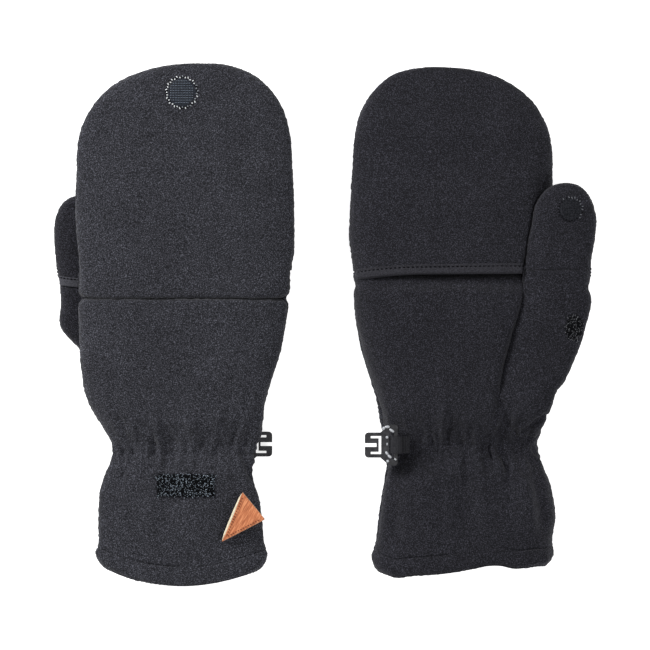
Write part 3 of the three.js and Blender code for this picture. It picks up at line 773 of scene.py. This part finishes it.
def hem(mitten, hand):
    """The turned-up hem: a soft roll of double cloth with a sunk row of stitches above it."""
    angles = even_angles(hand, 0, 2 * HALF_TURN, int(236 / GRID))[:-1]
    warp, bottom = hem_warp(mitten), HEM_Y - 0.6

    def roll(y, angle):
        return (edge_roll(y - bottom, 2.4) + 0.8 * edge_roll(hand.seam_distance(angle))
                + 0.3 * smooth_step(HEM_TOP_Y - 1.6, HEM_TOP_Y, y))

    def swell(points):
        x, y = points[..., 0], points[..., 1]
        puckers = noise(x, y * 0.2, 2.6, mitten.seed + 32)
        top = smooth_step(HEM_TOP_Y - 14, HEM_TOP_Y - 4, y)
        return 0.3 * noise(x, y, 12, mitten.seed + 31) + 0.3 * top * puckers

    mesh = cloth(hand, angles, rows_between(bottom, HEM_TOP_Y, 0.9), 1.2, wrap=True, warp=warp,
                 roll=roll, pull=hem_corner(mitten), shape=swell, seed=mitten.seed + 30,
                 inset=-0.15)
    # The hem takes the painted-lighter fleece on the palm-down mitten and the painted-darker one on
    # the palm-up mitten.
    mitten.add("hem", "hand", "fleece", SHADED_PALM_FLEECE if mitten.palm_is_up else LIT_BACK_FLEECE, mesh,
               "hem_band")
    starts, ends = [], []
    for start in (HALF_TURN, 0.0):
        turn = even_angles(hand, start + 0.35, start + HALF_TURN - 0.35, 90)
        row = stitch_row(warp(hand.skin(HEM_TOP_Y + 0.6, turn, 0.06)), 1.9, 0.9)
        starts.append(row[0])
        ends.append(row[1])
    mesh = capsules(np.concatenate(starts), np.concatenate(ends), 0.13)
    mitten.add("hem_stitches", "hand", "thread", HEM_THREAD, mesh)


def inner_tubes(mitten, hand):
    """The cuff's lining and the elastic sewn between it and the palm side."""
    angles = even_angles(hand, 0, 2 * HALF_TURN, 120)[:-1]
    mesh = cloth(hand, angles, rows_between(HEM_Y + 1.5, WRIST_Y + 3, 2.0), 1.1, wrap=True,
                 warp=hem_warp(mitten), inset=FLEECE + 1.6, pull=hem_corner(mitten),
                 shape=soft_swell(mitten.seed + 41, 0.2), seed=mitten.seed + 40, fuzz=0.08)
    mitten.add("cuff_lining", "hand", "lining", INNER_FLEECE, mesh, "cuff_lining")
    angles = even_angles(hand, 0.5, HALF_TURN - 0.5, 90)
    mesh = cloth(hand, angles, rows_between(WRIST_Y - 4, WRIST_Y + 2, 0.8), 0.7,
                 inset=FLEECE + 0.5, seed=mitten.seed + 42, fuzz=0.03)
    mitten.add("wrist_elastic", "hand", "binding", TAPE, mesh, "wrist_elastic")


def hood_panels(mitten, hood):
    mouth = curve_through(mitten.mouth)
    for side, material, angles in two_sides(hood, 122):
        palm_side = side == "palm"
        if palm_side:
            near = mouth(hood.skin(MOUTH_Y, angles)[:, 0]) + BINDING_WIDTH
        else:
            near = np.full(angles.shape, HINGE_Y + FOLD_GAP)
        rows = int((mitten.hood_tip_y - near.mean()) / GRID * 1.12)

        def heights(inset):
            t = np.linspace(0, 1, rows + 1)[:, None]
            closing = 0.66 + 0.34 * np.sin((t - 0.6) / 0.4 * HALF_TURN / 2)
            return near + (mitten.hood_tip_y - inset - near) * np.where(t < 0.6, t * 1.1, closing)

        def roll(y, angle):
            turned = edge_roll(hood.seam_distance(angle))
            return turned if palm_side else turned + edge_roll(y - near, 2.0)

        mesh = cloth(hood, angles, heights, FLEECE, roll=roll, pull=fold_notch(mitten),
                     shape=soft_swell(mitten.seed + 50 + palm_side, 0.5), closed_tip=True,
                     seed=mitten.seed + 52 + palm_side)
        mitten.add(f"hood_{side}", "hood", "fleece", material, mesh, f"hood_{side}_panel")
    hood_binding(mitten, hood, mouth)


def hood_binding(mitten, hood, mouth):
    """A tape folded over the hood's palm edge, with a row of stitches along it."""
    angles = even_angles(hood, 0.03, HALF_TURN - 0.03, 150)
    near = mouth(hood.skin(MOUTH_Y, angles)[:, 0])
    width = BINDING_WIDTH + 0.5

    def roll(y, angle):
        t = (y - near) / width
        folded = 1.6 * (1 - np.sqrt(np.clip(1 - (1 - np.clip(t / 0.3, 0, 1)) ** 2, 0, 1)))
        tucked = 1.6 * (1 - smooth_step(0, 0.35, np.sin(angle)))
        return folded + tucked + 0.6 * bell(t - 0.8, 0.08) + 0.5 * smooth_step(0.86, 1.0, t)

    mesh = cloth(hood, angles, near + width * np.linspace(0, 1, 17)[:, None], FLEECE + 1.2,
                 roll=roll, inset=-0.7, fuzz=0.03, shape=soft_swell(mitten.seed + 61, 0.22),
                 seed=mitten.seed + 60)
    mitten.add("hood_binding", "hood", "binding", TAPE, mesh, "hood_mouth_binding")
    turn = even_angles(hood, 0.3, HALF_TURN - 0.3, 200)
    stitched_y = mouth(hood.skin(MOUTH_Y, turn)[:, 0]) + BINDING_WIDTH - 1.1
    mesh = capsules(*stitch_row(hood.skin(stitched_y, turn, -0.45), 1.5, 0.9), 0.33)
    mitten.add("binding_stitches", "hood", "thread", BLACK_THREAD, mesh)


def palm_share(angle):
    """1 on the thumb's palm side, falling to 0 just past its side seams."""
    return smooth_step(-0.05, 0.4, np.sin(angle))


def thumb_mouth(angle):
    """Where the thumb cap begins: level with its fold on the palm side, lower at the back."""
    back_level = 20.4 + 1.2 * np.cos(angle)
    return (back_level + (THUMB_HINGE_Y - back_level) * palm_share(angle)
            - 0.8 * np.clip(-np.sin(angle), 0, 1))


def thumb_dot(mitten):
    """The middle of the dot that the folded thumb cap's disc grips."""
    return mitten.disc_x + 2.2, 2 * THUMB_HINGE_Y - mitten.thumb_tip_y + DISC_TO_TIP + 1.5


def thumb_pieces(mitten, thumb):
    """The sleeve, the cap, and the tape that binds the cap's mouth at the back."""
    angles = even_angles(thumb, 0, 2 * HALF_TURN, int(84 / GRID), 2.8)[:-1]
    mouth = thumb_mouth(angles)
    gap = 0.03
    sleeve_end = mouth - gap
    swell, root_folds = soft_swell(mitten.seed + 71, 0.4), gather(mitten, True)
    sleeve_rows = SLEEVE_Y + (sleeve_end - SLEEVE_Y) * np.linspace(0, 1, 84)[:, None]

    def sleeve_shape(points):
        x, y = points[..., 0], points[..., 1]
        calm = beside_patch(x, y, thumb_dot(mitten), DOT_REACH, 2)
        return calm * swell(points) + (1 - smooth_step(-40, -30, y)) * root_folds(points)

    mesh = cloth(thumb, angles, sleeve_rows, THUMB_FLEECE, wrap=True, shape=sleeve_shape,
                 roll=lambda y, angle: edge_roll(sleeve_end - y) * (1 - palm_share(angle)),
                 seed=mitten.seed + 70)
    mitten.add("thumb_sleeve", "hand", "fleece", SHADED_PALM_FLEECE, mesh, "thumb_sleeve")

    cap_near = mouth + THUMB_BINDING_WIDTH * (1 - palm_share(angles)) + gap

    def cap_heights(inset):
        t = np.sin(np.linspace(0, 1, 62) * HALF_TURN / 2)[:, None]
        return cap_near + (mitten.thumb_tip_y - inset - cap_near) * t

    mesh = cloth(thumb, angles, cap_heights, THUMB_FLEECE, wrap=True, closed_tip=True, shape=swell,
                 seed=mitten.seed + 72)
    mitten.add("thumb_cap", "thumb_cap", "fleece", SHADED_PALM_FLEECE, mesh, "thumb_cap")

    back = even_angles(thumb, HALF_TURN - 0.25, 2 * HALF_TURN + 0.25, 60, 2.8)
    back_mouth = thumb_mouth(back)
    tape_rows = back_mouth + (THUMB_BINDING_WIDTH + 0.5) * np.linspace(0, 1, 9)[:, None]
    mesh = cloth(thumb, back, tape_rows, 2.9, inset=-0.5, fuzz=0.03,
                 shape=soft_swell(mitten.seed + 75, 0.15), seed=mitten.seed + 74)
    mitten.add("thumb_binding", "thumb_cap", "binding", THUMB_TAPE, mesh, "thumb_cap_binding")
    line = thumb.skin(back_mouth + THUMB_BINDING_WIDTH - 0.4, back, -0.6)
    mesh = capsules(*stitch_row(line, 1.3, 0.7), 0.3)
    mitten.add("thumb_stitches", "thumb_cap", "thread", BLACK_THREAD, mesh)


def finger_stubs(mitten, hand):
    """Four half fingers inside the hood, each a soft tube with a turned edge."""
    left, right = hand.little(HINGE_Y) + 8.5, hand.thumb_side(HINGE_Y) - 13.0
    pitch = (right - left) / 4
    limit = hood_hollow(mitten)
    bottom, square = 3.6, 0.85
    around = np.linspace(0, 2 * HALF_TURN, 41)[:-1]
    across, rise = (signed_power(part(around), square) for part in (np.cos, np.sin))
    lengths = {"little": 29.5, "ring": 32.0, "middle": 33.0, "index": 31.5}
    for i, (finger, end) in enumerate(lengths.items()):
        centre = left + pitch * (i + 0.5)
        rows = np.linspace(6.0, end, 26)
        taper = 1 - 0.06 * smooth_step(14, end, rows)[:, None]
        edge = 0.5 * bell(rows[:, None] - end + 2.2, 1.2)
        grids = []
        for inset in (0.0, 1.4):
            x = centre + ((pitch / 2 - 0.25) * taper - inset) * across
            y = np.broadcast_to(rows[:, None], x.shape)
            top = np.minimum(16.2, limit(x, y) - FLEECE - 0.7)
            middle = (bottom + top) / 2
            half = np.where(np.sin(around) > 0, top - middle, middle - bottom)
            z = middle + (half - inset) * rise
            grain = np.random.RandomState(mitten.seed + 80 + i).normal(0, 0.07, x.shape)
            lift = grain + (0 if inset else edge)
            grids.append(np.stack([x + lift * np.cos(around), y, z + lift * np.sin(around)], -1))
        points = np.concatenate([grid.reshape(-1, 3) for grid in grids])
        mesh = points, shell_faces(len(rows) - 1, len(around), True, False)
        mitten.add(f"{finger}_stub", "hand", "lining", INNER_FLEECE, mesh, f"{finger}_finger_stub")


# -------- fasteners and trim

def hook_disc(mitten, form, centre, radius, palm_side, body, names, bright):
    """A round hook patch: woven ground, rows of tiny hooks, and a whipped edge."""
    disc, stitching = names
    up = 1 if palm_side else -1
    mitten.add(disc, body, "hook_fastener", HOOK_WEAVE if bright else DARK_WEAVE,
               disc_mesh(form, centre, radius, palm_side, 0.55), disc)
    field = radius - 1.2
    spots = [(centre[0] + column, centre[1] + row)
             for row in np.arange(-field, radius - 1.0, 1.3)
             for column in np.arange(-field, radius - 1.0, 0.85) if math.hypot(row, column) < field]
    feet = on_skin(form, spots, palm_side, 0.5)
    mesh = capsules(feet, feet + np.array([0.34, 0.0, up * 0.3]), 0.17, 5)
    mitten.add(disc + "_hooks", body, "hook_fastener", HOOK_NYLON if bright else LOOP_NYLON, mesh)

    turns = int(round(2 * math.pi * radius / 1.45))
    starts, ends = [], []
    random = np.random.RandomState(mitten.seed + 90)
    for k in range(turns):
        angle = 2 * math.pi * k / turns
        middle = radius + (0.62 if k % 2 else 0.2) + random.uniform(-0.1, 0.1)
        skew = random.uniform(-0.06, 0.06)
        starts.append(round_about(centre, middle - 0.5, angle - skew))
        ends.append(round_about(centre, middle + 0.5, angle + skew))
    mesh = capsules(on_skin(form, starts, palm_side, 0.62), on_skin(form, ends, palm_side, 0.18),
                    0.34 if bright else 0.22)
    piece = mitten.add(stitching, body, "thread", PALE_THREAD if bright else GREY_THREAD, mesh,
                       stitching)
    # Stitches away from one side of the disc get a darker thread at random, more often the further
    # round they lie.
    piece.data.materials.append(DARKER_THREAD if bright else BLACK_THREAD)
    dark_share, pale_side = (0.6, 0.17 * math.pi) if bright else (1.4, 0.3 * math.pi)
    each = len(piece.data.polygons) // turns
    for k in range(turns):
        turned_away = 0.5 - 0.5 * math.cos(2 * math.pi * k / turns - pale_side)
        if random.uniform(0, 1) < dark_share * turned_away:
            for polygon in piece.data.polygons[k * each: (k + 1) * each]:
                polygon.material_index = 1
    if bright:
        flat = [round_about(centre, radius + 0.45, 2 * math.pi * (k + 0.5) / turns)
                for k in range(turns)]
        rim = on_skin(form, flat, palm_side, 0.22)
        mitten.add(disc + "_edge", body, "thread", BLACK_THREAD,
                   capsules(rim, np.roll(rim, -1, 0), 0.42))


def patch_ground(form, inside, reach, centre, palm_side):
    """The thin knitted ground of a loop patch, cut to its outline from a fine grid."""
    step = 0.55
    columns, rows = (int(2 * r / step) for r in reach)
    across = np.linspace(-reach[0], reach[0], columns + 1)
    along = np.linspace(-reach[1], reach[1], rows + 1)
    flat = np.stack(np.meshgrid(across, along), -1).reshape(-1, 2)
    covered = inside(flat[:, 0], flat[:, 1])
    top = on_skin(form, flat + centre, palm_side, 0.3)
    under = top - (0, 0, 0.9 if palm_side else -0.9)
    count = len(top)
    faces, edges = [], {}
    quads = grid_quads(np.arange(count).reshape(rows + 1, columns + 1))
    for quad in quads[covered[quads].all(1)].tolist():
        faces += [quad, [count + k for k in reversed(quad)]]
        edges.update(dict.fromkeys(zip(quad, quad[1:] + quad[:1])))
    faces += [(b, a, a + count, b + count) for a, b in edges if (b, a) not in edges]
    used = sorted({k for face in faces for k in face})
    number = {k: i for i, k in enumerate(used)}
    points = np.concatenate([top, under])[used]
    return points, [tuple(number[k] for k in face) for face in faces]


def loop_patch(mitten, form, inside, reach, centre, palm_side, node, seed, sparkle):
    """A fuzzy loop patch: a thin ground under a deep pile of nylon loops, a quarter of them pale as
    painted glints.
    """
    random = np.random.RandomState(seed)
    columns, rows = (np.arange(-half, half, 0.44) for half in reach)
    spots = np.stack(np.meshgrid(columns, rows), -1).reshape(-1, 2)
    spots = random.permutation(spots + random.uniform(-0.32, 0.32, spots.shape))
    stray = random.normal(0, 0.45, spots.shape)
    spots = spots[inside(spots[:, 0] + stray[:, 0], spots[:, 1] + stray[:, 1])] + centre
    spots = on_skin(form, spots, palm_side, 0.3)
    mitten.add(node + "_ground", "hand", "loop_fastener", LOOP_NYLON,
               patch_ground(form, inside, reach, centre, palm_side))
    # The last quarter of the spots get pale loops, painted highlights on the black pile.
    first_glint = int(len(spots) * 0.74)
    glints = int(len(spots) * 0.26)
    for part, chosen, size, material, replaced in (
            ("pile", spots[:first_glint], 0.62, LOOP_NYLON, node),
            ("glints", spots[first_glint: first_glint + glints], 0.46, sparkle, None)):
        mesh = curled_pile(chosen, 1 if palm_side else -1, size, seed + len(part))
        mitten.add(f"{node}_{part}", "hand", "loop_fastener", material, mesh, replaced)


def fasteners(mitten, hood, thumb, hand):
    hook_disc(mitten, hood, (1.3, 124.8), 8.0, False, "hood",
              ("hood_hook_disc", "hood_disc_stitching"), True)
    hook_disc(mitten, thumb, (mitten.disc_x, mitten.thumb_tip_y - DISC_TO_TIP), 6.0, True,
              "thumb_cap", ("thumb_hook_disc", "thumb_disc_stitching"), False)

    def in_dot(x, y):
        return np.hypot(x / DOT_REACH[0], y / DOT_REACH[1]) < 1 + 0.06 * noise(x, y, 1.5, 3)

    def in_cuff_patch(x, y):
        return ((np.abs(x) < CUFF_PATCH_HALF[0] + 0.5 * noise(x, y, 1.8, 4))
                & (np.abs(y) < CUFF_PATCH_HALF[1] + 0.5 * noise(x, y, 2.2, 5)))

    loop_patch(mitten, thumb, in_dot, (5.6, 8.0), thumb_dot(mitten), True, "thumb_loop_dot",
               mitten.seed + 100, DIM_LOOP_GLINT)
    loop_patch(mitten, hand, in_cuff_patch, (16.4, 6.8), CUFF_PATCH, False, "cuff_loop_patch",
               mitten.seed + 110, LOOP_SPARK)


def leather_tag(mitten):
    """A small triangle of leather, stitched along its edges, with a pale cut edge."""
    corners = np.array([(-31.3, -90.0), (-43.5, -104.7), (-20.1, -116.8)]) + (mitten.tag_shift, 0)
    top, tip, foot = corners
    centre = corners.mean(0)
    corner_radius, bow_pitch = 0.7, 0.12
    outline = []
    for i, corner in enumerate(corners):
        near, far = (corner + (other - corner) / np.linalg.norm(other - corner) * corner_radius
                     for other in (corners[i - 1], corners[(i + 1) % 3]))
        for t in np.linspace(0, 1, 5):
            outline.append((1 - t) ** 2 * near + 2 * t * (1 - t) * corner + t**2 * far)
    outline = np.array(outline)
    toward = centre - outline
    toward /= np.linalg.norm(toward, axis=1, keepdims=True)
    # How far in each ring of the outline lies, and its z.
    levels = [(0.0, 1.55), (0.0, 1.0), (0.10, 0.72), (0.45, 0.55), (1.4, 0.5)]
    rings = []
    for inset, z in levels:
        ring = outline + toward * inset
        bow = 0.35 * np.sin((ring[:, 0] - ring[:, 0].min()) * bow_pitch)
        rings.append(np.column_stack([ring, z - bow]))
    piece = mitten.add("leather_tag", "hand", "leather", LEATHER, tubes(np.array([rings]), True),
                       "leather_tag", smooth=False)
    piece.data.materials.append(LEATHER_EDGE)
    for polygon in piece.data.polygons[: 2 * len(outline)]:
        polygon.material_index = 1
    along = (foot - top) / np.linalg.norm(foot - top) * 1.2
    edge = [(*(point + (centre - point) * -0.01), 0.9) for point in (top + along, foot - along)]
    mitten.add("tag_cut_edge", "hand", "leather", LEATHER_EDGE,
               capsules(edge[:1], edge[1:], 0.8, 10))
    left = corners[:, 0].min()
    inner = [corner + (centre - corner) * 0.2 for corner in (top, foot, tip)]
    path = [(*point, 0.3 - 0.35 * math.sin((point[0] - left) * bow_pitch)) for point in inner]
    mitten.add("tag_stitching", "hand", "thread", TAN_THREAD,
               capsules(*stitch_row(path, 1.0, 0.5), 0.24), "tag_stitching")


CLIP_EDGE = (-29.4, -64.8)
CLIP_TOP_Z = 26.9
# Pale cord marks on the clip's base, painted highlights of the glossy plastic, as paths from the
# middle of its inner edge.
CLIP_HIGHLIGHT_PATHS = [
    [(-8.0, 8.2), (-6.9, 9.7), (-4.2, 9.9)],
    [(-4.4, 8.6), (-1.9, 7.0)],
    [(-6.4, 4.2), (-5.0, 4.2)],
    [(-6.0, 0.6), (-5.2, 0.5)],
    [(-6.4, -3.4), (-5.2, -5.2), (-3.4, -7.0)],
    [(-6.0, -8.6), (-4.6, -8.6)],
    [(-1.5, -8.0), (-0.9, -7.3)],
]


def finish_cad_node(name, material, edge_width, segments):
    """Keeps a CAD node's shape, with its edges eased and a material of its own."""
    node = frame["nodes"][name]
    node.data.materials.clear()
    node.data.materials.append(material)
    ease = node.modifiers.new("eased_edges", "BEVEL")
    ease.width = edge_width
    ease.segments = segments
    return node, ease


def clip(mitten):
    """The moulded clip, the webbing that holds it, and pale cord marks on its base as painted
    highlights.
    """
    node, ease = finish_cad_node(mitten.name + "_glove_clip", PLASTIC, 0.0008, 3)
    ease.limit_method = "ANGLE"
    node.modifiers.new("even_shading", "WEIGHTED_NORMAL")
    starts, ends = ([(CLIP_EDGE[0] + x, CLIP_EDGE[1] + y, CLIP_TOP_Z)
                     for path in CLIP_HIGHLIGHT_PATHS for x, y in path[part]]
                    for part in (slice(None, -1), slice(1, None)))
    mitten.add("clip_cord_highlights", "clip", "thread", PALE_CORD_HIGHLIGHT, capsules(starts, ends, 0.72, 10))
    finish_cad_node(mitten.name + "_clip_loop", WEBBING, 0.0003, 2)


# -------- the room

def soft_box(name, location, size, power):
    """A square lamp that faces the middle of the table."""
    data = bpy.data.lights.new(name, "AREA")
    data.shape = "SQUARE"
    data.size = size
    data.energy = power
    lamp = bpy.data.objects.new(name, data)
    lamp.location = location
    x, y, z = location
    lamp.rotation_euler = (math.atan2(math.hypot(x, y), z), 0, math.atan2(-y, -x) - HALF_TURN / 2)
    bpy.context.scene.collection.objects.link(lamp)


def room():
    scene = bpy.context.scene
    height, picture_width, sensor = 2.6, 0.351, 36
    camera_data = bpy.data.cameras.new("camera")
    camera_data.sensor_width = sensor
    camera_data.lens = sensor * (height - 0.5 * THICKNESS * MM) / picture_width
    camera_data.clip_end = 20
    camera = bpy.data.objects.new("camera", camera_data)
    camera.location = (0, -0.00027, height)
    scene.collection.objects.link(camera)
    scene.camera = camera

    look = Look("floor", 0.9, Emission_Color=(1, 1, 1, 1), Emission_Strength=0.75)
    tone = look.ramp(look.noise(6.0, 2.0, 0.5), (0.3, (0.93, 0.93, 0.93)),
                     (0.7, (0.95, 0.95, 0.95)))
    half = 3.0
    corners = [(-half, -half, 0), (half, -half, 0), (half, half, 0), (-half, half, 0)]
    floor = add_object("floor", corners, [(0, 1, 2, 3)], look.link(tone))
    floor.location.z = -0.0004

    scene.world = bpy.data.worlds.new("studio")
    scene.world.use_nodes = True
    background = scene.world.node_tree.nodes["Background"].inputs
    background["Color"].default_value = (1, 1, 1, 1)
    background["Strength"].default_value = 0.45
    soft_box("key", (-1.3, 0.9, 0.75), 0.5, 30)
    soft_box("fill", (1.2, -0.7, 1.1), 0.8, 11)
    scene.view_settings.view_transform = "Standard"


# -------- everything

room()
for mitten in (PALMDOWN, PALMUP):
    hand, hood, thumb = hand_form(mitten), hood_form(mitten), thumb_form(mitten)
    hand_panels(mitten, hand)
    hem(mitten, hand)
    inner_tubes(mitten, hand)
    finger_stubs(mitten, hand)
    hood_panels(mitten, hood)
    thumb_pieces(mitten, thumb)
    fasteners(mitten, hood, thumb, hand)
    leather_tag(mitten)
    clip(mitten)
